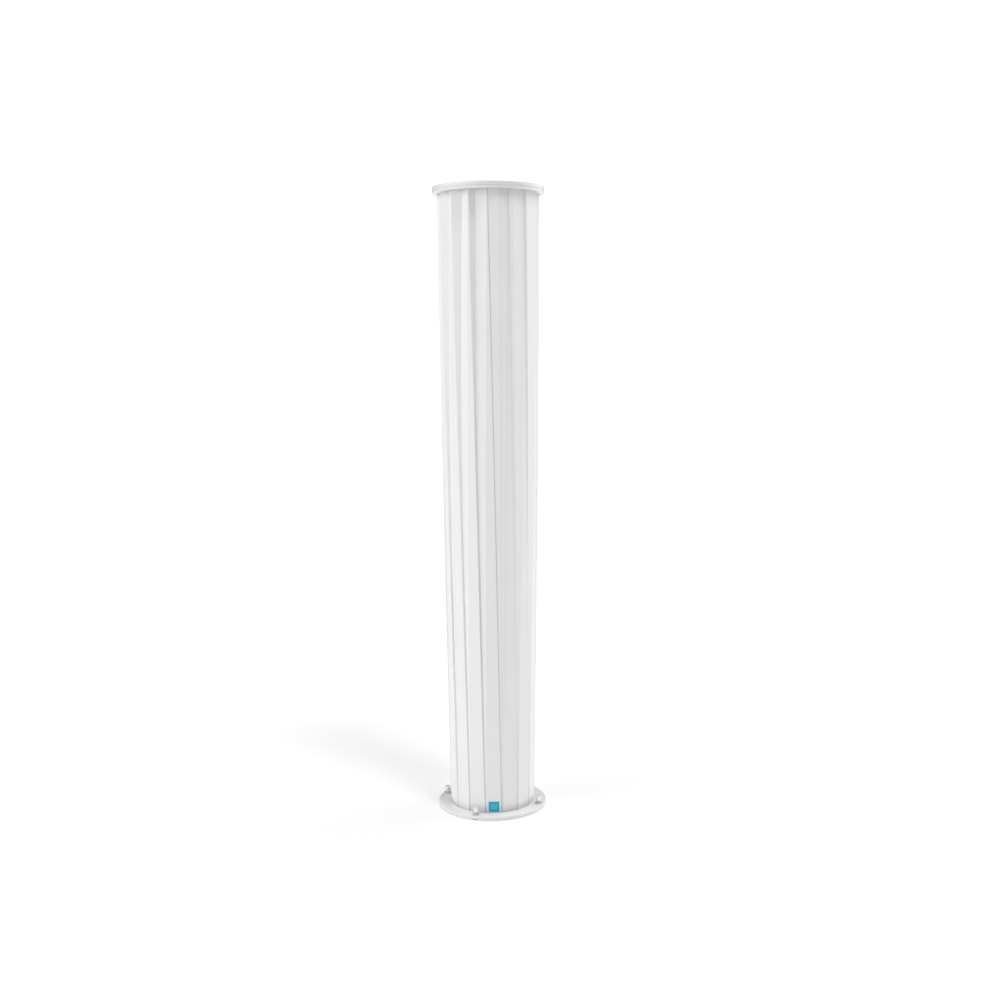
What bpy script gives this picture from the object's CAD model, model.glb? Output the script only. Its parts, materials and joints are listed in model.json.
"""The looks of the tower air purifier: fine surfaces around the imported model, materials, light and camera.

Metres, +Z up, front towards -Y. A bearing is an angle about Z from the front, positive towards +X.
"""

import json
import math

import bmesh
import bpy
from mathutils import Matrix, Vector


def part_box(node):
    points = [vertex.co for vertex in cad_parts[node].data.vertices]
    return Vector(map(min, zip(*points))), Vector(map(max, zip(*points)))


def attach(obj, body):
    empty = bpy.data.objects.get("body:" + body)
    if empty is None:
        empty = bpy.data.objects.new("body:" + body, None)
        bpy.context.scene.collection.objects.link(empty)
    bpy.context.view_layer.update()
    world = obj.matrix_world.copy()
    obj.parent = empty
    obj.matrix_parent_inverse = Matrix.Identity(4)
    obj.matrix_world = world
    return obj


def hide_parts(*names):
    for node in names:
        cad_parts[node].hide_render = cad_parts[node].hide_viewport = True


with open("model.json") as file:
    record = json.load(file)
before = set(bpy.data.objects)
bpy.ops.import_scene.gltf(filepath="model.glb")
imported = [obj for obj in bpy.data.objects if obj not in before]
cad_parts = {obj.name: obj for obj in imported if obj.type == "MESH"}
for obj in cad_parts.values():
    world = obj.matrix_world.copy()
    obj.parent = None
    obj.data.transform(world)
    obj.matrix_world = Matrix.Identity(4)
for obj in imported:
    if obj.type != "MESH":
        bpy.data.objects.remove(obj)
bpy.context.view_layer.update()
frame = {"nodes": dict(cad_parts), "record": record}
NODES = frame["nodes"]

# ---------------------------------------------------------------- sizes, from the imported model

BASE_LOW, BASE_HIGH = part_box("base_plate")
TOP_LOW, TOP_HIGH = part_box("top_plate")
RING_LOW, RING_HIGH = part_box("top_ring")
SLEEVE_LOW, SLEEVE_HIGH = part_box("pleated_sleeve")
PLATE_R = BASE_HIGH[0]
HEIGHT = TOP_HIGH[2]
GAP = 0.0003
EDGE_ROUND = 0.0009

FOOT_BEARINGS = [math.radians(-21.5 + 90 * n) for n in range(4)]
ROD_BEARINGS = [math.radians(45 + 90 * n) for n in range(4)]

# The sleeve's folds
PANELS = 16
PANEL_STEP = math.radians(360 / PANELS)
SLEEVE_FOOT_R = 0.1180
SLEEVE_HEAD_R = SLEEVE_HIGH[0]
SLEEVE_FLARE = 1.3
SHEET_THICK = 0.0009
SLIT_HALF = 0.00210 / SLEEVE_FOOT_R
POINT_HALF = math.radians(0.25)
SLEEVE_TWIST = math.radians(-1.45)
FOLD_DEPTH_FOOT = 0.036
FOLD_DEPTH_HEAD = 0.098
# Right of the front the pleats lie over at the top: (sideways in degrees, how far in as a part of the radius)
POINTS_AT_TOP = {0: (-1.35, 0.015), 1: (1.15, 0.052), 2: (-0.95, 0.036)}
CREASES_AT_TOP = {0: (1.3, 0.0), 1: (-7.3, 0.0), 2: (-10.4, 0.0), PANELS - 1: (-5.0, FOLD_DEPTH_HEAD)}
SEAM_PANEL = 0
LEFT_CREASE_BOW = math.radians(-5.0)
LEFT_CREASE_EASE = 0.45
SLEEVE_LEVELS = 72
FOLD_ROUND = 0.0011
# What the sleeve's fold attribute says: a fold is a little greyer, and the seam darker
FOLD_MARK = 1.0
SEAM_MARK = 2.0

# Plates, feet and badge
FOOT_CIRCLE_R = 0.136
ROD_CIRCLE_R = 0.097
RING_HOLE_R = 0.0800
BADGE_SLOPE = 0.0146
MEDIA_BEADS = 5
BEAD_SIDES = 120

# Studio. Soft boxes: bearing, elevation, the cosines where each one starts and is full, and its strength
FLOOR_ALBEDO = 0.78
FLOOR_GLOW = 0.23
SOFT_BOXES = (
    (-72, 15, 0.70, 0.98, 2.00),
    (112, 15, 0.70, 0.98, 2.00),
    (0, 90, 0.55, 0.97, 1.20),
)
SKY_LEVEL = 0.0
BACKDROP_LEVEL = 1.10
KEY_STRENGTH = 0.70
KEY_BEARING = 37
KEY_ELEVATION = 62
KEY_SOFTNESS = 14

# Camera: metres, degrees and millimetres
CAMERA_DISTANCE = 3.439
CAMERA_HEIGHT = 1.273
CAMERA_BEARING = 1.75
CAMERA_YAW = 1.190
CAMERA_PITCH = -6.857
CAMERA_ROLL = -0.286
CAMERA_LENS = 45.32
CAMERA_SHIFT = -0.0164


def at_bearing(bearing, radius, z=0.0):
    return Vector((radius * math.sin(bearing), -radius * math.cos(bearing), z))


# ---------------------------------------------------------------- materials

class Surface:
    """A procedural material: one Principled shader with colour, roughness and bump worked out from noise."""

    def __init__(self, name, color, rough, metal=0.0):
        self.material = bpy.data.materials.new(name)
        self.material.use_nodes = True
        self.tree = self.material.node_tree
        self.shader = self.tree.nodes["Principled BSDF"]
        self.shader.inputs["Metallic"].default_value = metal
        self.shader.inputs["Roughness"].default_value = rough
        self.coords = self.tree.nodes.new("ShaderNodeTexCoord")
        self.color = color
        self.rough = rough
        self.heights = []

    def node(self, kind, **values):
        made = self.tree.nodes.new(kind)
        for key, value in values.items():
            setattr(made, key, value)
        return made

    def link(self, start, end):
        self.tree.links.new(start, end)

    def place(self, stretch=(1, 1, 1)):
        if stretch == (1, 1, 1):
            return self.coords.outputs["Object"]
        mapping = self.node("ShaderNodeMapping")
        mapping.inputs["Scale"].default_value = stretch
        self.link(self.coords.outputs["Object"], mapping.inputs["Vector"])
        return mapping.outputs["Vector"]

    def noise(self, scale, detail=2.0, stretch=(1, 1, 1)):
        made = self.node("ShaderNodeTexNoise")
        made.inputs["Scale"].default_value = scale
        made.inputs["Detail"].default_value = detail
        self.link(self.place(stretch), made.inputs["Vector"])
        return made.outputs["Fac"]

    def span(self, value, low, high, from_low=0.3, from_high=0.7):
        made = self.node("ShaderNodeMapRange")
        made.inputs["From Min"].default_value = from_low
        made.inputs["From Max"].default_value = from_high
        made.inputs["To Min"].default_value = low
        made.inputs["To Max"].default_value = high
        self.link(value, made.inputs["Value"])
        return made.outputs["Result"]

    def mix(self, share, first, second):
        """A colour between two colours or sockets."""
        made = self.node("ShaderNodeMix", data_type="RGBA")
        self.link(share, made.inputs["Factor"])
        sockets = [s for s in made.inputs if s.type == "RGBA"]
        for socket, value in zip(sockets, (first, second)):
            if isinstance(value, tuple):
                socket.default_value = (*value, 1.0)
            else:
                self.link(value, socket)
        return [s for s in made.outputs if s.type == "RGBA"][0]

    def shade(self, factor):
        return tuple(min(1.0, channel * factor) for channel in self.color)

    def mottle(self, scale, strength, detail=3.0, stretch=(1, 1, 1)):
        """Base colour that wanders a little lighter and darker."""
        share = self.span(self.noise(scale, detail, stretch), 0.0, 1.0)
        return self.mix(share, self.shade(1 - strength), self.shade(1 + strength))

    def paint(self, socket):
        self.link(socket, self.shader.inputs["Base Color"])

    def rough_by(self, scale, spread, detail=3.0, stretch=(1, 1, 1)):
        value = self.span(self.noise(scale, detail, stretch), self.rough - spread, self.rough + spread)
        self.link(value, self.shader.inputs["Roughness"])

    def bump(self, value, distance, strength=1.0):
        self.heights.append((value, distance, strength))

    def done(self, **sockets):
        normal = None
        for value, distance, strength in self.heights:
            made = self.node("ShaderNodeBump")
            made.inputs["Distance"].default_value = distance
            made.inputs["Strength"].default_value = strength
            self.link(value, made.inputs["Height"])
            if normal:
                self.link(normal, made.inputs["Normal"])
            normal = made.outputs["Normal"]
        if normal:
            self.link(normal, self.shader.inputs["Normal"])
        for name, value in sockets.items():
            self.shader.inputs[name.replace("_", " ")].default_value = value
        return self.material


def sleeve_material():
    """Folded non-woven sheet: matt white, faint fibres, and a slightly greyer line along every fold."""
    s = Surface("sleeve_sheet", (0.885, 0.885, 0.888), 0.62)
    fibres = s.noise(900, 4.0, (1.0, 1.0, 0.25))
    flecks = s.noise(2600, 2.0)
    cloud = s.mottle(9, 0.012)
    fold = s.node("ShaderNodeAttribute", attribute_name="fold")
    line = s.span(fold.outputs["Fac"], 0.0, 0.55, 0.35, FOLD_MARK)
    seam = s.span(fold.outputs["Fac"], 0.0, 0.80, 1.3, SEAM_MARK)
    s.paint(s.mix(seam, s.mix(line, cloud, (0.79, 0.79, 0.80)), (0.56, 0.56, 0.57)))
    s.rough_by(60, 0.06)
    s.bump(fibres, 0.00006, 0.55)
    s.bump(flecks, 0.00003, 0.35)
    return s.done(Sheen_Weight=0.08, Sheen_Roughness=0.5, Specular_IOR_Level=0.35)


def coat_material():
    """Satin powder coat with orange peel, a little handling haze and rare specks."""
    s = Surface("white_coat", (0.83, 0.83, 0.835), 0.36)
    s.paint(s.mottle(14, 0.012))
    s.rough_by(30, 0.05)
    s.bump(s.noise(700, 2.0), 0.00008, 0.35)
    s.bump(s.noise(3200, 1.0), 0.00002, 0.30)
    return s.done(Coat_Weight=0.15, Coat_Roughness=0.25)


def badge_material(name, color):
    s = Surface(name, color, 0.34)
    s.paint(s.mottle(260, 0.05))
    s.rough_by(180, 0.05)
    s.bump(s.noise(2400, 2.0), 0.00002, 0.30)
    return s.done(Coat_Weight=0.35, Coat_Roughness=0.12)


def chrome_material():
    """Satin-bright plate with fine turning marks and light scratches."""
    s = Surface("bright_chrome", (0.86, 0.86, 0.87), 0.30, 1.0)
    s.paint(s.mottle(400, 0.03))
    s.rough_by(900, 0.05, 3.0, (1, 1, 6))
    s.bump(s.noise(1400, 2.0, (0.3, 0.3, 6)), 0.00001, 0.30)
    return s.done()


def zinc_material():
    """Zinc-plated steel: brushed lines and a patchy spangle."""
    s = Surface("zinc_plate", (0.56, 0.57, 0.59), 0.34, 1.0)
    s.paint(s.mottle(240, 0.10, 4.0))
    s.rough_by(180, 0.09)
    s.bump(s.noise(1500, 2.0, (6, 6, 0.3)), 0.00002, 0.30)
    return s.done()


def rubber_material():
    s = Surface("black_rubber_skin", (0.020, 0.020, 0.021), 0.72)
    s.paint(s.mottle(300, 0.20))
    s.rough_by(240, 0.08)
    s.bump(s.noise(1800, 3.0), 0.00005, 0.45)
    return s.done(Sheen_Weight=0.05)


def moulded_material(name, color, rough):
    """Moulded plastic with a spark-eroded grain."""
    s = Surface(name, color, rough)
    s.paint(s.mottle(70, 0.05))
    s.rough_by(90, 0.06)
    grain = s.node("ShaderNodeTexVoronoi")
    grain.inputs["Scale"].default_value = 1500
    s.link(s.coords.outputs["Object"], grain.inputs["Vector"])
    s.bump(grain.outputs["Distance"], 0.00004, 0.35)
    s.bump(s.noise(500, 2.0), 0.00003, 0.25)
    return s.done()


def paper_material():
    """Filter paper: warm white, fibrous, with faint grey dust streaks."""
    s = Surface("filter_paper_sheet", (0.80, 0.79, 0.74), 0.88)
    dust = s.span(s.noise(26, 5.0, (1, 1, 0.3)), 0.0, 0.35, 0.52, 0.75)
    s.paint(s.mix(dust, s.mottle(120, 0.03), (0.60, 0.59, 0.56)))
    s.rough_by(90, 0.05)
    s.bump(s.noise(1600, 5.0), 0.00012, 0.55)
    return s.done(Sheen_Weight=0.15)


def carbon_material():
    s = Surface("carbon_foam", (0.028, 0.028, 0.030), 0.92)
    cells = s.node("ShaderNodeTexVoronoi")
    cells.inputs["Scale"].default_value = 620
    s.link(s.coords.outputs["Object"], cells.inputs["Vector"])
    s.paint(s.mottle(500, 0.35))
    s.rough_by(300, 0.06)
    s.bump(cells.outputs["Distance"], 0.0006, 0.80)
    return s.done()


def board_material():
    """Solder mask over copper tracks: darker and lighter green lanes."""
    s = Surface("solder_mask", (0.020, 0.150, 0.065), 0.38)
    lanes = s.node("ShaderNodeTexBrick")
    lanes.inputs["Scale"].default_value = 120
    lanes.inputs["Color1"].default_value = (0.018, 0.150, 0.060, 1)
    lanes.inputs["Color2"].default_value = (0.030, 0.200, 0.085, 1)
    lanes.inputs["Mortar"].default_value = (0.050, 0.260, 0.120, 1)
    s.link(s.coords.outputs["Object"], lanes.inputs["Vector"])
    s.paint(lanes.outputs["Color"])
    s.rough_by(200, 0.06)
    s.bump(lanes.outputs["Fac"], 0.00004, 0.40)
    return s.done(Coat_Weight=0.20)


def lens_material():
    """A smoky clear lens with a faint green glow behind it."""
    s = Surface("status_lens_clear", (0.62, 0.80, 0.74), 0.12)
    s.paint(s.mottle(900, 0.08))
    s.rough_by(700, 0.04)
    s.bump(s.noise(2600, 2.0), 0.00002, 0.30)
    return s.done(Transmission_Weight=0.55, IOR=1.49)


def make_materials():
    return {
        "sleeve_white": sleeve_material(),
        "plate_white": coat_material(),
        "badge_blue": badge_material("badge_print", (0.010, 0.340, 0.480)),
        "badge_mark": badge_material("badge_ink", (0.030, 0.780, 0.950)),
        "badge_edge": badge_material("badge_border", (0.360, 0.840, 0.930)),
        "chrome": chrome_material(),
        "zinc": zinc_material(),
        "black_rubber": rubber_material(),
        "grey_plastic": moulded_material("grey_moulding", (0.36, 0.37, 0.38), 0.50),
        "black_plastic": moulded_material("black_moulding", (0.026, 0.026, 0.028), 0.42),
        "filter_paper": paper_material(),
        "carbon_black": carbon_material(),
        "board_green": board_material(),
        "clear_lens": lens_material(),
        "icon_grey": moulded_material("icon_ink", (0.78, 0.79, 0.80), 0.40),
        "washer_grey": moulded_material("washer", (0.60, 0.60, 0.61), 0.55),
        "pad_grey": moulded_material("pad_rubber", (0.34, 0.34, 0.345), 0.72),
    }


LOOKS = make_materials()


def dress_nodes():
    """Every CAD node takes the detailed material of its slot."""
    for entry in frame["record"]["subparts"]:
        obj = NODES[entry["node"]]
        look = LOOKS[entry["material_slot"]]
        if not obj.material_slots:
            obj.data.materials.append(look)
        for place in obj.material_slots:
            place.material = look


# ---------------------------------------------------------------- shape helpers

def finish_piece(obj, slot, body, *nodes, look=None):
    """Gives a new piece its material, its slot and its body, and the nodes that it stands for."""
    obj.data.materials.clear()
    obj.data.materials.append(LOOKS[look or slot])
    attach(obj, body)
    if nodes:
        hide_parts(*nodes)
    return obj


def object_of(name, mesh, hidden=False):
    obj = bpy.data.objects.new(name, mesh)
    bpy.context.scene.collection.objects.link(obj)
    if hidden:
        obj.hide_render = True
        obj.hide_viewport = True
    return obj


def smooth(mesh, angle=38):
    mesh.shade_smooth()
    mesh.set_sharp_from_angle(angle=math.radians(angle))


def mesh_from(name, work):
    mesh = bpy.data.meshes.new(name)
    work.to_mesh(mesh)
    work.free()
    return mesh


def fillet(profile, radius, steps=4):
    """A closed profile with every corner rounded, less where its sides are short."""
    points = [Vector((r, z)) for r, z in profile]
    made = []
    for n, corner in enumerate(points):
        before, after = points[n - 1], points[(n + 1) % len(points)]
        reach = min(radius, 0.45 * (before - corner).length, 0.45 * (after - corner).length)
        start = corner + (before - corner).normalized() * reach
        end = corner + (after - corner).normalized() * reach
        for step in range(steps + 1):
            share = step / steps
            made.append(start.lerp(corner, share).lerp(corner.lerp(end, share), share))
    return [(p.x, p.y) for p in made]


def lathe(profile, steps, closed=True, place=(0, 0, 0)):
    """A bmesh turned from a profile of (radius, z) about Z. A point on the axis is one vertex."""
    work = bmesh.new()
    centre = Vector(place)
    rails = []
    for radius, z in profile:
        if radius < 1e-7:
            rails.append([work.verts.new(centre + Vector((0, 0, z)))] * steps)
            continue
        turn = 2 * math.pi / steps
        spots = [(radius * math.cos(n * turn), radius * math.sin(n * turn), z) for n in range(steps)]
        rails.append([work.verts.new(centre + Vector(spot)) for spot in spots])
    pairs = list(zip(rails, rails[1:]))
    if closed:
        pairs.append((rails[-1], rails[0]))
    for upper, lower in pairs:
        for n in range(steps):
            m = (n + 1) % steps
            corners = []
            for vert in (upper[n], lower[n], lower[m], upper[m]):
                if vert not in corners:
                    corners.append(vert)
            if len(corners) > 2:
                work.faces.new(corners)
    bmesh.ops.recalc_face_normals(work, faces=work.faces)
    return work


def turned(name, profile, steps=96, closed=True, place=(0, 0, 0), angle=38, hidden=False):
    mesh = mesh_from(name, lathe(profile, steps, closed, place))
    smooth(mesh, angle)
    return object_of(name, mesh, hidden)


def tube_profile(outer, inner, bottom, top):
    return [(outer, top), (outer, bottom), (inner, bottom), (inner, top)]


def rounded_box(work, low, high, bevel, segments=3, turn=None):
    """Adds a box with rounded edges to the bmesh."""
    low, high = Vector(low), Vector(high)
    size = Matrix.Diagonal((*(high - low), 1.0))
    made = bmesh.ops.create_cube(work, size=1.0, matrix=Matrix.Translation((low + high) / 2) @ size)
    edges = list({edge for vert in made["verts"] for edge in vert.link_edges})
    done = bmesh.ops.bevel(
        work, geom=edges, offset=bevel, segments=segments, profile=0.5, affect="EDGES", clamp_overlap=True
    )
    if turn:
        verts = list({vert for face in done["faces"] for vert in face.verts})
        bmesh.ops.transform(work, matrix=turn, verts=verts)


def box_piece(name, low, high, bevel, hidden=False):
    work = bmesh.new()
    rounded_box(work, low, high, bevel)
    mesh = mesh_from(name, work)
    smooth(mesh)
    return object_of(name, mesh, hidden)


def combine(obj, other, operation="DIFFERENCE"):
    modifier = obj.modifiers.new(other.name, "BOOLEAN")
    modifier.operation = operation
    modifier.object = other
    modifier.solver = "EXACT"


def settle(obj):
    """Applies the modifiers, so that the piece is one plain mesh."""
    bpy.context.view_layer.update()
    graph = bpy.context.evaluated_depsgraph_get()
    mesh = bpy.data.meshes.new_from_object(obj.evaluated_get(graph))
    helpers = [m.object for m in obj.modifiers if m.type == "BOOLEAN"]
    obj.modifiers.clear()
    obj.data = mesh
    for helper in helpers:
        bpy.data.objects.remove(helper, do_unlink=True)
    return obj


def wire(name, points, radius, resolution=6, cyclic=False):
    curve = bpy.data.curves.new(name, "CURVE")
    curve.dimensions = "3D"
    curve.bevel_depth = radius
    curve.bevel_resolution = resolution
    curve.use_fill_caps = True
    line = curve.splines.new("POLY")
    line.points.add(len(points) - 1)
    line.use_cyclic_u = cyclic
    for point, place in zip(line.points, points):
        point.co = (*place, 1.0)
    guide = object_of(name + "_path", curve)
    bpy.context.view_layer.update()
    mesh = bpy.data.meshes.new_from_object(guide.evaluated_get(bpy.context.evaluated_depsgraph_get()))
    bpy.data.objects.remove(guide, do_unlink=True)
    work = bmesh.new()
    work.from_mesh(mesh)
    bmesh.ops.remove_doubles(work, verts=work.verts, dist=0.00001)
    mesh = mesh_from(name, work)
    smooth(mesh, 50)
    return object_of(name, mesh)


# ---------------------------------------------------------------- the folded sleeve

def sleeve_radius(share):
    return SLEEVE_FOOT_R + (SLEEVE_HEAD_R - SLEEVE_FOOT_R) * (1 - (1 - share) ** SLEEVE_FLARE)


def point_of_panel(panel, share):
    """The sideways shift of a panel's edges, and how far in they are as a part of the radius."""
    shift, depth = POINTS_AT_TOP.get(panel, (0.0, 0.0))
    return math.radians(shift) * share, depth * share


def crease_after(panel, share):
    """The sideways shift of the crease after a panel, and how far in it is. On the left they bow and ease."""
    shift, head = CREASES_AT_TOP.get(panel, (0.0, FOLD_DEPTH_HEAD))
    depth = FOLD_DEPTH_FOOT + (head - FOLD_DEPTH_FOOT) * (1 - (1 - share) ** 2)
    turn = math.radians(shift) * share
    if panel >= PANELS // 2:
        depth *= 1 - LEFT_CREASE_EASE * math.sin(math.pi * share)
        turn += LEFT_CREASE_BOW * math.sin(math.pi * share)
    return turn, depth


def corner_arc(before, corner, after, radius, steps=3):
    """The points of a fold: the corner eased with a small radius, as (point, how much it is a fold)."""
    reach = min(radius, 0.40 * (before - corner).length, 0.40 * (after - corner).length)
    start = corner + (before - corner).normalized() * reach
    end = corner + (after - corner).normalized() * reach
    made = []
    for n in range(steps + 1):
        share = n / steps
        point = start.lerp(corner, share).lerp(corner.lerp(end, share), share)
        made.append((point, FOLD_MARK))
    return made


def sleeve_ring(share):
    """One trip round the sleeve at a share of its height, as (point, fold) pairs."""
    radius = sleeve_radius(share)
    half = (PANEL_STEP / 2 - SLIT_HALF) * (1 - share) + POINT_HALF * share
    z = SLEEVE_LOW[2] + (SLEEVE_HIGH[2] - SLEEVE_LOW[2]) * share
    corners = []
    for panel in range(PANELS):
        middle = panel * PANEL_STEP + SLEEVE_TWIST * share
        shift, depth = point_of_panel(panel, share)
        corners.append(at_bearing(middle + shift - half, radius * (1 - depth), z))
        corners.append(at_bearing(middle + shift + half, radius * (1 - depth), z))
        shift, depth = crease_after(panel, share)
        corners.append(at_bearing(middle + shift + PANEL_STEP / 2, radius * (1 - depth), z))
    ring = []
    for n, corner in enumerate(corners):
        before, after = corners[n - 1], corners[(n + 1) % len(corners)]
        arc = corner_arc(before, corner, after, FOLD_ROUND)
        if n == 3 * SEAM_PANEL + 1:
            arc = [(point, SEAM_MARK) for point, _ in arc]
        ring.extend(arc)
        leave = arc[-1][0]
        beyond = corners[(n + 2) % len(corners)]
        arrive = corner_arc(corner, after, beyond, FOLD_ROUND)[0][0]
        length = (arrive - leave).length
        support = min(0.0012, 0.2 * length)
        panel = n // 3
        for step, share_along in enumerate((support / length, 0.35, 0.65, 1 - support / length)):
            point = leave.lerp(arrive, share_along)
            if step in (1, 2):
                point += ripple(point, panel, n % 3, share)
            ring.append((point, 0.0))
    return ring


def ripple(point, panel, side, share):
    """The sheet isn't dead flat: it bulges by a few tenths of a millimetre."""
    wave = math.sin(9.0 * share + 2.1 * panel + 1.3 * side)
    wave += 0.6 * math.sin(23.0 * share + 4.7 * panel + 2.9 * side)
    outward = Vector((point.x, point.y, 0)).normalized()
    return outward * wave * 0.00028 * math.sin(math.pi * min(1.0, max(0.0, share))) ** 0.5


def make_sleeve():
    shares = [n / (SLEEVE_LEVELS - 1) for n in range(SLEEVE_LEVELS)]
    rings = [sleeve_ring(share) for share in shares]
    around = len(rings[0])
    faces = []
    for level in range(SLEEVE_LEVELS - 1):
        for n in range(around):
            here = level * around + n
            beside = level * around + (n + 1) % around
            faces.append((here, beside, beside + around, here + around))
    mesh = bpy.data.meshes.new("sleeve")
    mesh.from_pydata([point for ring in rings for point, _ in ring], [], faces)
    fold = mesh.attributes.new("fold", "FLOAT", "POINT")
    for n, value in enumerate(value for ring in rings for _, value in ring):
        fold.data[n].value = value
    smooth(mesh, 45)
    sleeve = object_of("sleeve", mesh)
    shell = sleeve.modifiers.new("sheet", "SOLIDIFY")
    shell.thickness = SHEET_THICK
    shell.offset = -1.0
    block_low, block_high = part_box("inlet_block")
    margin = 0.0008
    low = (block_low[0] - margin, 0.100, SLEEVE_LOW[2] - 0.01)
    high = (block_high[0] + margin, 0.135, block_high[2] + margin)
    combine(sleeve, box_piece("notch", low, high, 0.0015, hidden=True))
    settle(sleeve)
    finish_piece(sleeve, "sleeve_white", "frame", "pleated_sleeve")


# ---------------------------------------------------------------- plates

def bores(name, places, radius, bottom, top, steps=32):
    """One helper object with a round cutter at every place."""
    work = bmesh.new()
    for place in places:
        profile = [(0, top), (radius, top), (radius, bottom), (0, bottom)]
        made = lathe(profile, steps, False, (place.x, place.y, 0))
        mesh = mesh_from(name, made)
        work.from_mesh(mesh)
    return object_of(name, mesh_from(name, work), hidden=True)


def foot_places():
    return [at_bearing(bearing, FOOT_CIRCLE_R) for bearing in FOOT_BEARINGS]


def rod_places():
    return [at_bearing(bearing, ROD_CIRCLE_R) for bearing in ROD_BEARINGS]


def make_base():
    profile = [(PLATE_R, BASE_HIGH[2]), (PLATE_R, BASE_LOW[2]), (0, BASE_LOW[2]), (0, BASE_HIGH[2])]
    rounded = [(r, z) for r, z in fillet(profile, EDGE_ROUND) if r > PLATE_R * 0.5]
    rounded = [(0, BASE_HIGH[2])] + rounded + [(0, BASE_LOW[2])]
    plate = turned("base_disc", rounded, 192, closed=False)
    low, high = BASE_LOW[2] - 0.003, BASE_HIGH[2] + 0.003
    combine(plate, bores("base_foot_bores", foot_places(), 0.0034, low, high))
    combine(plate, bores("base_rod_bores", rod_places(), 0.0034, low, high))
    settle(plate)
    smooth(plate.data)
    finish_piece(plate, "plate_white", "frame", "base_plate")


def button_nodes():
    return ("power_button", "speed_button", "timer_button")


def middle_of(node):
    low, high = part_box(node)
    return (Vector(low) + Vector(high)) / 2


def make_top():
    """The upper disc with its sunk screws and button holes, and the thinner disc under it."""
    outer = fillet(tube_profile(PLATE_R, 0.0865, TOP_LOW[2], TOP_HIGH[2]), EDGE_ROUND)
    disc = turned("top_disc", outer, 192)
    low, high = TOP_LOW[2] - 0.003, TOP_HIGH[2] + 0.003
    combine(disc, bores("screw_sinks", rod_places(), 0.0050, TOP_HIGH[2] - 0.003, high))
    combine(disc, bores("screw_bores", rod_places(), 0.0020, low, TOP_HIGH[2] - 0.002))
    for node in button_nodes():
        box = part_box(node)
        radius = (box[1][0] - box[0][0]) / 2 + 0.0004
        combine(disc, bores(node + "_bore", [middle_of(node)], radius, low, high, 48))
    combine(disc, bores("lens_bore", [middle_of("status_lens")], 0.0023, low, high))
    settle(disc)
    smooth(disc.data)
    finish_piece(disc, "plate_white", "frame", "top_plate")
    under_profile = tube_profile(PLATE_R, RING_HOLE_R, RING_LOW[2], RING_HIGH[2])
    under = turned("under_disc", fillet(under_profile, EDGE_ROUND), 192)
    stems = [middle_of(node) for node in button_nodes()]
    combine(under, bores("ring_rod_bores", rod_places(), 0.0034, RING_LOW[2] - 0.003, RING_HIGH[2] + 0.003))
    combine(under, bores("ring_stem_bores", stems, 0.0029, RING_LOW[2] - 0.003, RING_HIGH[2] + 0.003))
    settle(under)
    smooth(under.data)
    finish_piece(under, "plate_white", "frame", "top_ring")


def make_screws():
    """Socket-head screws, each with a hexagon recess."""
    for number, place in enumerate(rod_places(), 1):
        low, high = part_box(f"top_screw_{number}")
        head_low = HEIGHT - 0.003 + GAP
        head = 0.0046
        profile = [
            (0, high[2]),
            (head - 0.0005, high[2]),
            (head - 0.00015, high[2] - 0.00015),
            (head, high[2] - 0.0005),
            (head, head_low),
            (0.0015, head_low),
            (0.0015, low[2]),
            (0, low[2]),
        ]
        screw = turned(f"screw_head_{number}", profile, 40, closed=False, place=(place.x, place.y, 0))
        combine(screw, bores(f"socket_{number}", [place], 0.0017, high[2] - 0.0016, high[2] + 0.002, 6))
        settle(screw)
        smooth(screw.data)
        finish_piece(screw, "zinc", "frame", f"top_screw_{number}")


# ---------------------------------------------------------------- feet

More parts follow.
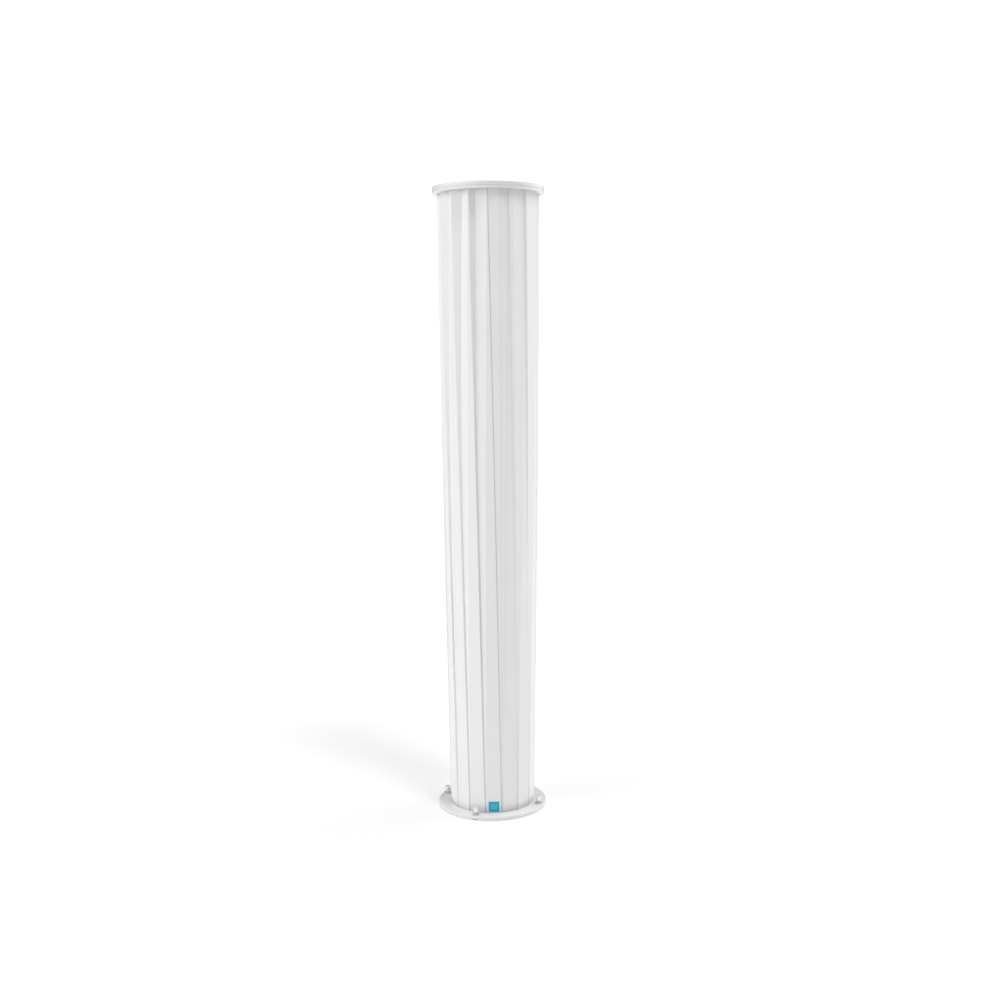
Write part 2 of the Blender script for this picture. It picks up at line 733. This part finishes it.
def make_foot(number, place):
    """A polished knob with a domed head and a waist groove on its stud, the black ring and the pad."""
    low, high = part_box(f"foot_screw_{number}")
    ring_low, ring_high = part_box(f"foot_ring_{number}")
    grip = (high[0] - low[0]) / 2
    knob_low = high[2] - 0.0124
    stud = 0.003
    knob = [(0, high[2])]
    for n in range(1, 9):
        turn = math.pi / 2 * n / 8
        knob.append((grip * math.sin(turn), high[2] - 0.0036 * (1 - math.cos(turn))))
    groove = knob_low + 0.0058
    knob += [
        (grip, groove + 0.0006),
        (grip - 0.0005, groove + 0.0002),
        (grip - 0.0005, groove - 0.0002),
        (grip, groove - 0.0006),
        (grip, knob_low + 0.0007),
        (grip - 0.0002, knob_low + 0.0002),
        (grip - 0.0007, knob_low),
        (stud + 0.0002, knob_low),
        (stud, knob_low - 0.0002),
    ]
    bottom = low[2]
    turns = int((knob_low - 0.0006 - bottom) / 0.0005)
    for n in range(turns):
        depth = 0.00028 if n % 2 else 0.0
        knob.append((stud - depth, knob_low - 0.0005 - n * 0.0005))
    knob.append((0, bottom))
    foot = turned(f"foot_knob_{number}", knob, 56, closed=False, place=(place.x, place.y, 0), angle=50)
    finish_piece(foot, "chrome", f"foot_{number}", f"foot_screw_{number}")
    outer = (ring_high[0] - ring_low[0]) / 2
    band = fillet(tube_profile(outer, stud + GAP, ring_low[2], ring_high[2]), 0.0008)
    finish_piece(
        turned(f"foot_band_{number}", band, 56, place=(place.x, place.y, 0)),
        "grey_plastic", "frame", f"foot_ring_{number}", look="washer_grey",
    )
    pad_low, pad_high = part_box(f"foot_pad_{number}")
    pad_r = (pad_high[0] - pad_low[0]) / 2
    seat = 0.0009
    pad = [
        (stud + GAP, pad_high[2]),
        (pad_r - 0.0006, pad_high[2]),
        (pad_r - 0.0001, pad_high[2] - 0.0004),
        (pad_r, pad_high[2] - 0.0010),
        (pad_r, pad_low[2] + 0.0004),
        (pad_r - 0.0004, pad_low[2]),
        (0, pad_low[2]),
        (0, pad_low[2] + seat),
        (stud + GAP, pad_low[2] + seat),
    ]
    finish_piece(
        turned(f"foot_sole_{number}", pad, 48, place=(place.x, place.y, 0)),
        "black_rubber", f"foot_{number}", f"foot_pad_{number}", look="pad_grey",
    )


# ---------------------------------------------------------------- badge

def make_badge():
    """A square label with rounded corners, on a thin pale edge, with three plain wave lines."""
    low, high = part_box("front_badge")
    half = (high[0] - low[0]) / 2
    middle = middle_of("front_badge")
    lean = math.atan(BADGE_SLOPE)
    out = Matrix.Translation(Vector((0, high[1] - 0.0003, middle.z))) @ Matrix.Rotation(lean, 4, "X")

    def plate(name, side, back, front, bevel, slot_look):
        outline = []
        radius = 0.0020
        for corner in range(4):
            sign_x = 1 if corner in (0, 3) else -1
            sign_z = 1 if corner in (0, 1) else -1
            for n in range(6):
                turn = math.pi / 2 * (corner + n / 5)
                x = sign_x * (side - radius) + radius * math.cos(turn)
                z = sign_z * (side - radius) + radius * math.sin(turn)
                outline.append(Vector((x, 0, z)))
        work = bmesh.new()
        inner = (side - bevel) / side
        front_ring = [work.verts.new(Vector((p.x * inner, front, p.z * inner))) for p in outline]
        edge_ring = [work.verts.new(Vector((p.x, front + bevel, p.z))) for p in outline]
        back_ring = [work.verts.new(Vector((p.x, back, p.z))) for p in outline]
        count = len(outline)
        for first, second in ((front_ring, edge_ring), (edge_ring, back_ring)):
            for n in range(count):
                m = (n + 1) % count
                work.faces.new((first[n], first[m], second[m], second[n]))
        work.faces.new(front_ring)
        work.faces.new(list(reversed(back_ring)))
        bmesh.ops.recalc_face_normals(work, faces=work.faces)
        bmesh.ops.transform(work, matrix=out, verts=work.verts)
        mesh = mesh_from(name, work)
        smooth(mesh, 30)
        return finish_piece(object_of(name, mesh), "badge_blue", "frame", look=slot_look)

    backing = plate("badge_backing", half, 0.0, -0.00055, 0.0002, "badge_edge")
    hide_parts("front_badge")
    plate("badge_face", half - 0.0012, -0.0005, -0.0009, 0.0001, "badge_blue")
    for number, height in enumerate((0.0045, 0.0, -0.0045), 1):
        width = 0.0085
        points = []
        for n in range(25):
            x = -width + 2 * width * n / 24
            points.append(out @ Vector((x, -0.00088, height + 0.0013 * math.sin(2 * math.pi * n / 24 * 1.5))))
        wave = wire(f"badge_wave_{number}", points, 0.00095, 4)
        finish_piece(wave, "badge_blue", "frame", look="badge_mark")


# ---------------------------------------------------------------- cartridge

def make_media():
    """Sharply pleated paper, with beads of glue that keep the pleats apart."""
    low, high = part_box("filter_media")
    outer = (high[0] - low[0]) / 2
    inner = outer - 0.0185
    pleats = 84
    sheet = 0.00045
    work = bmesh.new()
    rings = []
    levels = 14
    for level in range(levels):
        z = low[2] + (high[2] - low[2]) * level / (levels - 1)
        ring = []
        for n in range(2 * pleats):
            top = n % 2 == 0
            angle = math.pi * n / pleats + 0.004 * math.sin(7.0 * level / levels + 1.7 * n)
            radius = outer - 0.0002 if top else inner
            ring.append(work.verts.new((radius * math.cos(angle), radius * math.sin(angle), z)))
        rings.append(ring)
    count = 2 * pleats
    for here, above in zip(rings, rings[1:]):
        for n in range(count):
            m = (n + 1) % count
            work.faces.new((here[n], here[m], above[m], above[n]))
    mesh = mesh_from("media_pleats", work)
    media = object_of("media_pleats", mesh)
    shell = media.modifiers.new("paper", "SOLIDIFY")
    shell.thickness = sheet
    shell.offset = -1.0
    settle(media)
    finish_piece(media, "filter_paper", "cartridge", "filter_media")
    radius = outer + 0.0001
    for number in range(1, MEDIA_BEADS + 1):
        z = low[2] + (high[2] - low[2]) * number / (MEDIA_BEADS + 1)
        turns = [2 * math.pi * n / BEAD_SIDES for n in range(BEAD_SIDES)]
        ring = [Vector((radius * math.cos(turn), radius * math.sin(turn), z)) for turn in turns]
        bead = wire(f"media_bead_{number}", ring, 0.0009, 3, cyclic=True)
        finish_piece(bead, "grey_plastic", "cartridge", look="icon_grey")


def make_caps():
    caps = (("cartridge_bottom_cap", "lower_cap", True), ("cartridge_top_cap", "upper_cap", False))
    for node, name, ribs in caps:
        low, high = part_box(node)
        outer = (high[0] - low[0]) / 2
        if ribs:
            middle = (low[2] + high[2]) / 2
            profile = [
                (0, high[2] - 0.0005),
                (outer - 0.0010, high[2] - 0.0002),
                (outer - 0.0003, high[2] - 0.0006),
                (outer, high[2] - 0.0014),
                (outer, middle + 0.0006),
                (outer - 0.0006, middle + 0.0003),
                (outer - 0.0006, middle - 0.0003),
                (outer, middle - 0.0006),
                (outer, low[2] + 0.0014),
                (outer - 0.0004, low[2] + 0.0004),
                (outer - 0.0014, low[2]),
                (outer * 0.55, low[2]),
                (outer * 0.52, low[2] + 0.0010),
                (0, low[2] + 0.0010),
            ]
            piece = turned(name, profile, 120, closed=False)
        else:
            piece = turned(name, fillet(tube_profile(outer, 0.050, low[2], high[2]), 0.0010), 120)
        finish_piece(piece, "grey_plastic", "cartridge", node)
    low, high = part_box("cartridge_seal")
    outer = (high[0] - low[0]) / 2
    seal = turned("seal_ring", fillet(tube_profile(outer, 0.0810, low[2], high[2]), 0.0006), 120)
    finish_piece(seal, "black_rubber", "cartridge", "cartridge_seal")


HANDLE_R = 0.066
HANDLE_WIRE_R = 0.0022
HANDLE_Z = 1.6956
HANDLE_BEND = 0.004
HANDLE_END = HANDLE_R + 0.0100


def make_grille():
    """The cartridge's lid: air slots over the core, and a half-round groove with pockets for the bail."""
    low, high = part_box("outlet_grille")
    flange_r = high[0]
    flange_low = TOP_LOW[2] + 0.0015 + GAP
    top = high[2]
    slots_r = 0.050
    body = [
        (slots_r, top),
        (flange_r, top),
        (flange_r, flange_low),
        (0.0765, flange_low),
        (0.0765, low[2]),
        (slots_r, low[2]),
    ]
    lid = turned("grille_lid", fillet(body, 0.0006), 160)
    clear = HANDLE_WIRE_R + 0.0010
    floor = HANDLE_Z - HANDLE_WIRE_R - 0.0008
    lift = HEIGHT + 0.004
    groove_profile = tube_profile(HANDLE_R + clear, HANDLE_R - clear, floor, lift)
    groove = turned("groove", groove_profile, 160, hidden=True)
    rear_low, rear_high = (-0.09, clear, floor - 0.01), (0.09, 0.09, lift + 0.01)
    combine(groove, box_piece("groove_rear", rear_low, rear_high, 0.0001, True))
    settle(groove)
    combine(lid, groove)
    wall = HANDLE_R + HANDLE_BEND + 0.0022
    front = -HANDLE_BEND - 0.0025
    for side in (1, -1):
        ends = sorted((side * (HANDLE_R - clear), side * wall))
        near, far = (ends[0], front, floor), (ends[1], clear, lift)
        pocket = box_piece(f"pocket_{side + 2}", near, far, 0.0008, True)
        combine(lid, pocket)
        bore = HANDLE_WIRE_R + GAP
        hole = lathe([(0, 0.006), (bore, 0.006), (bore, -0.004), (0, -0.004)], 24, False)
        turn = Matrix.Translation((side * wall, 0, HANDLE_Z)) @ Matrix.Rotation(side * math.pi / 2, 4, "Y")
        bmesh.ops.transform(hole, matrix=turn, verts=hole.verts)
        combine(lid, object_of(f"end_hole_{side + 2}", mesh_from("end_hole", hole), hidden=True))
    settle(lid)
    smooth(lid.data)
    finish_piece(lid, "plate_white", "cartridge", "outlet_grille")
    bar_low = top - 0.004
    hub = [(0, top), (0.0106, top), (0.0116, top - 0.0004), (0.0120, top - 0.0012)]
    hub += [(0.0120, bar_low), (0, bar_low)]
    finish_piece(turned("grille_hub", hub, 64, closed=False), "plate_white", "cartridge")
    for number, radius in enumerate((0.0185, 0.0248, 0.0311, 0.0374, 0.0437), 1):
        hoop = fillet(tube_profile(radius + 0.0012, radius - 0.0012, bar_low, top - 0.0002), 0.0005)
        finish_piece(turned(f"grille_hoop_{number}", hoop, 96), "plate_white", "cartridge")
    work = bmesh.new()
    for n in range(6):
        turn = Matrix.Rotation(n * math.pi / 3, 4, "Z")
        high_corner = (slots_r + 0.0008, 0.0011, top - 0.0006)
        rounded_box(work, (0.0105, -0.0011, bar_low + 0.0003), high_corner, 0.0004, 2, turn)
    mesh = mesh_from("grille_spokes", work)
    smooth(mesh)
    finish_piece(object_of("grille_spokes", mesh), "plate_white", "cartridge")


def make_handle():
    corner = []
    for n in range(8):
        turn = math.pi / 2 * n / 8
        corner.append((HANDLE_R + HANDLE_BEND * (1 - math.sin(turn)), -HANDLE_BEND * (1 - math.cos(turn))))
    points = [Vector((HANDLE_END, 0, HANDLE_Z))] + [Vector((x, y, HANDLE_Z)) for x, y in corner]
    first = math.asin(HANDLE_BEND / HANDLE_R)
    steps = 64
    for n in range(steps + 1):
        angle = first + (math.pi - 2 * first) * n / steps
        points.append(Vector((HANDLE_R * math.cos(angle), -HANDLE_R * math.sin(angle), HANDLE_Z)))
    points += [Vector((-x, y, HANDLE_Z)) for x, y in reversed(corner)] + [Vector((-HANDLE_END, 0, HANDLE_Z))]
    finish_piece(wire("bail", points, HANDLE_WIRE_R, 6), "chrome", "handle", "bail_handle")


# ---------------------------------------------------------------- buttons

def arc_points(centre, radius, start, end, z, steps=24):
    turns = [start + (end - start) * n / steps for n in range(steps + 1)]
    return [Vector((centre.x + radius * math.cos(a), centre.y + radius * math.sin(a), z)) for a in turns]


def make_buttons():
    """Dished caps on stems, each with a plain line symbol: on-off, three speed bars and a clock."""
    line = 0.00022
    for node in button_nodes():
        low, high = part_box(node)
        centre = middle_of(node)
        radius = (high[0] - low[0]) / 2
        top = high[2]
        cap = [(0, top - 0.0005)]
        for n in range(1, 7):
            share = n / 6
            cap.append(((radius - 0.0012) * share, top - 0.0005 * (1 - share**3)))
        cap += [
            (radius - 0.0005, top - 0.0001),
            (radius - 0.0001, top - 0.0005),
            (radius, top - 0.0009),
            (radius, top - 0.0050),
            (0.0025, top - 0.0050),
            (0.0025, low[2]),
            (0, low[2]),
        ]
        key = turned(node.replace("button", "key"), cap, 56, closed=False, place=(centre.x, centre.y, 0))
        finish_piece(key, "grey_plastic", node, node)
        z = top - 0.00035
        marks = []
        if node.startswith("power"):
            gap = math.radians(38)
            marks.append(arc_points(centre, 0.0030, math.pi / 2 + gap, 2.5 * math.pi - gap, z))
            marks.append([Vector((centre.x, centre.y + 0.0012, z)), Vector((centre.x, centre.y + 0.0040, z))])
        elif node.startswith("speed"):
            for n in range(3):
                x = centre.x + (n - 1) * 0.0016
                start = Vector((x, centre.y - 0.0018, z))
                marks.append([start, Vector((x, centre.y - 0.0006 + 0.0012 * n, z))])
        else:
            marks.append(arc_points(centre, 0.0026, 0, 2 * math.pi * 23 / 24, z))
            marks.append([
                Vector((centre.x, centre.y + 0.0017, z)),
                Vector((centre.x, centre.y, z)),
                Vector((centre.x + 0.0012, centre.y, z)),
            ])
        for number, points in enumerate(marks, 1):
            mark = wire(f"{node}_mark_{number}", points, line, 2)
            finish_piece(mark, "grey_plastic", node, look="icon_grey")


# ---------------------------------------------------------------- power inlet

def make_inlet():
    low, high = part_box("inlet_block")
    socket_low, socket_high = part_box("power_inlet")
    shell_low, shell_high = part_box("switch_shell")
    block = box_piece("inlet_frame", low, high, 0.0012)
    for name, a, b in (("socket_cut", socket_low, socket_high), ("switch_cut", shell_low, shell_high)):
        room = 0.0003
        cut_low = (a[0] - room, low[1] - 0.01, a[2] - room)
        cut_high = (b[0] + room, high[1] + 0.01, b[2] + room)
        combine(block, box_piece(name, cut_low, cut_high, 0.0012, True))
    settle(block)
    smooth(block.data)
    finish_piece(block, "plate_white", "frame", "inlet_block")
    z = (socket_low[2] + socket_high[2]) / 2
    body = box_piece("inlet_body", socket_low, socket_high, 0.0010)
    recess_low, recess_high = (-0.0090, 0.1035, z - 0.0046), (0.0090, 0.1250, z + 0.0046)
    combine(body, box_piece("plug_recess", recess_low, recess_high, 0.0040, True))
    settle(body)
    smooth(body.data)
    finish_piece(body, "black_plastic", "frame", "power_inlet")
    for number, x in enumerate((-0.0043, 0.0043), 1):
        pin = [(0, 0.0072), (0.0007, 0.0071), (0.0011, 0.0066), (0.0012, 0.0060), (0.0012, 0), (0, 0)]
        work = lathe(pin, 24, False)
        place = Matrix.Translation((x, 0.1033, z)) @ Matrix.Rotation(-math.pi / 2, 4, "X")
        bmesh.ops.transform(work, matrix=place, verts=work.verts)
        mesh = mesh_from(f"inlet_pin_{number}", work)
        smooth(mesh)
        finish_piece(object_of(f"inlet_pin_{number}", mesh), "zinc", "frame")
    z = (shell_low[2] + shell_high[2]) / 2
    shell = box_piece("rocker_frame", shell_low, shell_high, 0.0008)
    recess_low, recess_high = (-0.0080, 0.1060, z - 0.0058), (0.0080, 0.1250, z + 0.0058)
    combine(shell, box_piece("rocker_recess", recess_low, recess_high, 0.0006, True))
    settle(shell)
    smooth(shell.data)
    finish_piece(shell, "black_plastic", "frame", "switch_shell")
    make_rocker(z)


def make_rocker(z):
    """The tilted rocker: a shallow valley across its face, with a bar and a ring moulded on its halves."""
    turn = Matrix.Translation((0, 0.1125, z)) @ Matrix.Rotation(math.radians(7), 4, "X")
    outline = [(-0.0040, -0.0047), (0.0019, -0.0050), (0.0022, -0.0046)]
    steps = 8
    for n in range(1, steps):
        share = n / steps
        outline.append((0.0022 - 0.0007 * math.sin(math.pi * share), -0.0046 + 0.0092 * share))
    outline += [(0.0022, 0.0046), (0.0019, 0.0050), (-0.0040, 0.0047)]
    work = bmesh.new()
    ends = []
    for x, inset in ((-0.0076, 0.0003), (-0.0073, 0.0), (0.0073, 0.0), (0.0076, 0.0003)):
        ends.append([work.verts.new((x, y - inset * (y > 0), zz * (1 - inset / 0.005))) for y, zz in outline])
    for here, beyond in zip(ends, ends[1:]):
        for n in range(len(outline)):
            m = (n + 1) % len(outline)
            work.faces.new((here[n], here[m], beyond[m], beyond[n]))
    work.faces.new(ends[0])
    work.faces.new(list(reversed(ends[-1])))
    bmesh.ops.recalc_face_normals(work, faces=work.faces)
    bmesh.ops.transform(work, matrix=turn, verts=work.verts)
    mesh = mesh_from("rocker_cap", work)
    smooth(mesh, 30)
    finish_piece(object_of("rocker_cap", mesh), "black_plastic", "rocker", "mains_rocker")
    bar = [turn @ Vector((-0.0012, 0.0017, 0.0028)), turn @ Vector((0.0012, 0.0017, 0.0028))]
    finish_piece(wire("rocker_mark_1", bar, 0.00025, 2), "black_plastic", "rocker", look="icon_grey")
    ring = []
    for n in range(24):
        angle = 2 * math.pi * n / 24
        ring.append(turn @ Vector((0.0011 * math.cos(angle), 0.0017, -0.0028 + 0.0011 * math.sin(angle))))
    mark = wire("rocker_mark_2", ring, 0.00022, 2, cyclic=True)
    finish_piece(mark, "black_plastic", "rocker", look="icon_grey")


# ---------------------------------------------------------------- stage, light and camera

def make_stage():
    """A wide pale floor. A little of its white is its own, so that it stays even to the horizon."""
    floor_mesh = bpy.data.meshes.new("floor")
    reach = 40.0
    corners = [(-reach, -reach, 0), (reach, -reach, 0), (reach, reach, 0), (-reach, reach, 0)]
    floor_mesh.from_pydata(corners, [], [(0, 1, 2, 3)])
    floor = object_of("floor", floor_mesh)
    material = bpy.data.materials.new("pale_floor")
    material.use_nodes = True
    shader = material.node_tree.nodes["Principled BSDF"]
    shader.inputs["Base Color"].default_value = (FLOOR_ALBEDO, FLOOR_ALBEDO, FLOOR_ALBEDO, 1)
    shader.inputs["Roughness"].default_value = 0.9
    shader.inputs["Specular IOR Level"].default_value = 0.0
    shader.inputs["Emission Color"].default_value = (1, 1, 1, 1)
    shader.inputs["Emission Strength"].default_value = FLOOR_GLOW
    floor_mesh.materials.append(material)


def make_world():
    """A dark studio with broad soft boxes at both sides and overhead, in front of a white backdrop."""
    world = bpy.data.worlds.new("studio")
    bpy.context.scene.world = world
    world.use_nodes = True
    tree = world.node_tree
    tree.nodes.clear()
    out = tree.nodes.new("ShaderNodeOutputWorld")
    coords = tree.nodes.new("ShaderNodeTexCoord")
    total = None
    for bearing, elevation, start, full, strength in SOFT_BOXES:
        rise = math.radians(elevation)
        toward = tree.nodes.new("ShaderNodeVectorMath")
        toward.operation = "DOT_PRODUCT"
        toward.inputs[1].default_value = at_bearing(math.radians(bearing), math.cos(rise), math.sin(rise))
        tree.links.new(coords.outputs["Generated"], toward.inputs[0])
        level = tree.nodes.new("ShaderNodeMapRange")
        level.interpolation_type = "SMOOTHSTEP"
        level.inputs["From Min"].default_value = start
        level.inputs["From Max"].default_value = full
        level.inputs["To Min"].default_value = 0.0
        level.inputs["To Max"].default_value = strength
        tree.links.new(toward.outputs["Value"], level.inputs["Value"])
        adder = tree.nodes.new("ShaderNodeMath")
        adder.operation = "ADD"
        tree.links.new(level.outputs["Result"], adder.inputs[0])
        if total:
            tree.links.new(total, adder.inputs[1])
        else:
            adder.inputs[1].default_value = SKY_LEVEL
        total = adder.outputs["Value"]
    studio = tree.nodes.new("ShaderNodeBackground")
    studio.inputs["Color"].default_value = (1, 1, 1, 1)
    tree.links.new(total, studio.inputs["Strength"])
    backdrop = tree.nodes.new("ShaderNodeBackground")
    backdrop.inputs["Color"].default_value = (1, 1, 1, 1)
    backdrop.inputs["Strength"].default_value = BACKDROP_LEVEL
    path = tree.nodes.new("ShaderNodeLightPath")
    choose = tree.nodes.new("ShaderNodeMixShader")
    tree.links.new(path.outputs["Is Camera Ray"], choose.inputs["Fac"])
    tree.links.new(studio.outputs["Background"], choose.inputs[1])
    tree.links.new(backdrop.outputs["Background"], choose.inputs[2])
    tree.links.new(choose.outputs["Shader"], out.inputs["Surface"])


def make_key():
    """A sun from the front right, high up, for the soft shadow behind on the left."""
    lamp = bpy.data.lights.new("key", "SUN")
    lamp.energy = KEY_STRENGTH
    lamp.angle = math.radians(KEY_SOFTNESS)
    key = bpy.data.objects.new("key", lamp)
    bpy.context.scene.collection.objects.link(key)
    elevation = math.radians(KEY_ELEVATION)
    flat = at_bearing(math.radians(KEY_BEARING), math.cos(elevation), math.sin(elevation))
    key.rotation_euler = flat.to_track_quat("Z", "Y").to_euler()


def make_camera():
    """At eye height in front, a hand's width to the left, looking a little down."""
    lens = bpy.data.cameras.new("camera")
    lens.sensor_width = 36.0
    lens.lens = CAMERA_LENS
    lens.shift_x = CAMERA_SHIFT
    camera = bpy.data.objects.new("camera", lens)
    bpy.context.scene.collection.objects.link(camera)
    turn = math.radians(CAMERA_BEARING)
    camera.location = (-CAMERA_DISTANCE * math.sin(turn), -CAMERA_DISTANCE * math.cos(turn), CAMERA_HEIGHT)
    yaw = math.radians(CAMERA_YAW) + turn
    pitch = math.radians(CAMERA_PITCH)
    roll = math.radians(CAMERA_ROLL)
    ahead = Vector((math.sin(yaw) * math.cos(pitch), math.cos(yaw) * math.cos(pitch), math.sin(pitch)))
    right = Vector((math.cos(yaw), -math.sin(yaw), 0))
    up = right.cross(ahead)
    right_rolled = right * math.cos(roll) + up * math.sin(roll)
    up_rolled = up * math.cos(roll) - right * math.sin(roll)
    axes = Matrix((right_rolled, up_rolled, -ahead)).transposed()
    camera.rotation_euler = axes.to_euler()
    bpy.context.scene.camera = camera


# ---------------------------------------------------------------- everything

def main():
    bpy.context.scene.view_settings.view_transform = "Standard"
    make_camera()
    make_stage()
    make_world()
    make_key()
    dress_nodes()
    make_sleeve()
    make_base()
    make_top()
    make_screws()
    for number, place in enumerate(foot_places(), 1):
        make_foot(number, place)
    make_badge()
    make_media()
    make_caps()
    make_grille()
    make_handle()
    make_buttons()
    make_inlet()


main()
